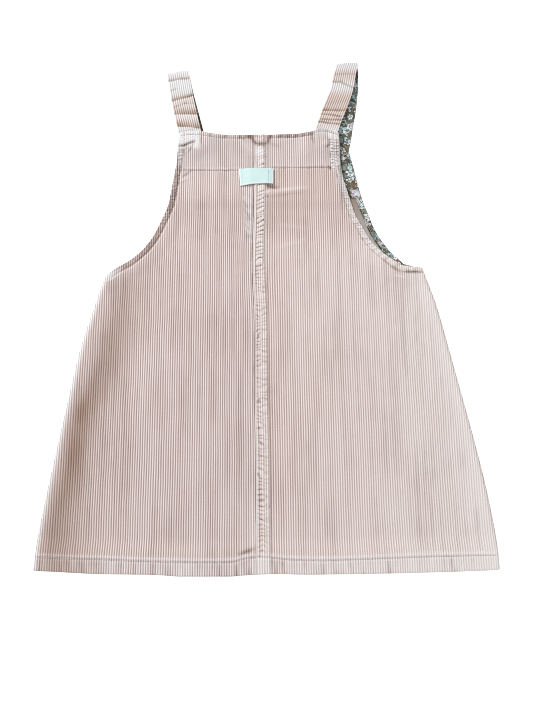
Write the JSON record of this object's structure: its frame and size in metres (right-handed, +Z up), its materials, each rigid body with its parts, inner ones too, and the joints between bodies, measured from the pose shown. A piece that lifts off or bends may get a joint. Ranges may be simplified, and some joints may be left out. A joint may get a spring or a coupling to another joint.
{
  "type": "pinafore dress",
  "caption": "Toddler's A-line corduroy pinafore dress with printed facings and folded shoulder straps, laid flat with its back up.",
  "frame": {"origin": "middle of the bounding box, on the surface that the dress lies on", "axes": "+Z up from the surface, +Y from the hem to the shoulder straps, +X to the right looking down on the back"},
  "size_m": [0.4406, 0.5442, 0.0081],
  "materials": {
    "corduroy": "washed cotton corduroy, about 11 wales to the inch, pale dusty pink, soft pile",
    "printed_cotton": "plain-weave cotton with a small all-over print of flowers and leaves in aqua, olive, rust and dark brown",
    "woven_label": "bare pale mint woven tape, slightly glossy"
  },
  "bodies": {
    "root": {"front_panel": "corduroy", "bib_facing": "printed_cotton", "armhole_facing_left": "printed_cotton", "armhole_facing_right": "printed_cotton", "back_left_panel": "corduroy", "back_right_panel": "corduroy", "strap_left": "corduroy", "strap_right": "corduroy", "strap_lining_left": "printed_cotton", "strap_lining_right": "printed_cotton", "label": "woven_label"}
  },
  "joints": []
}
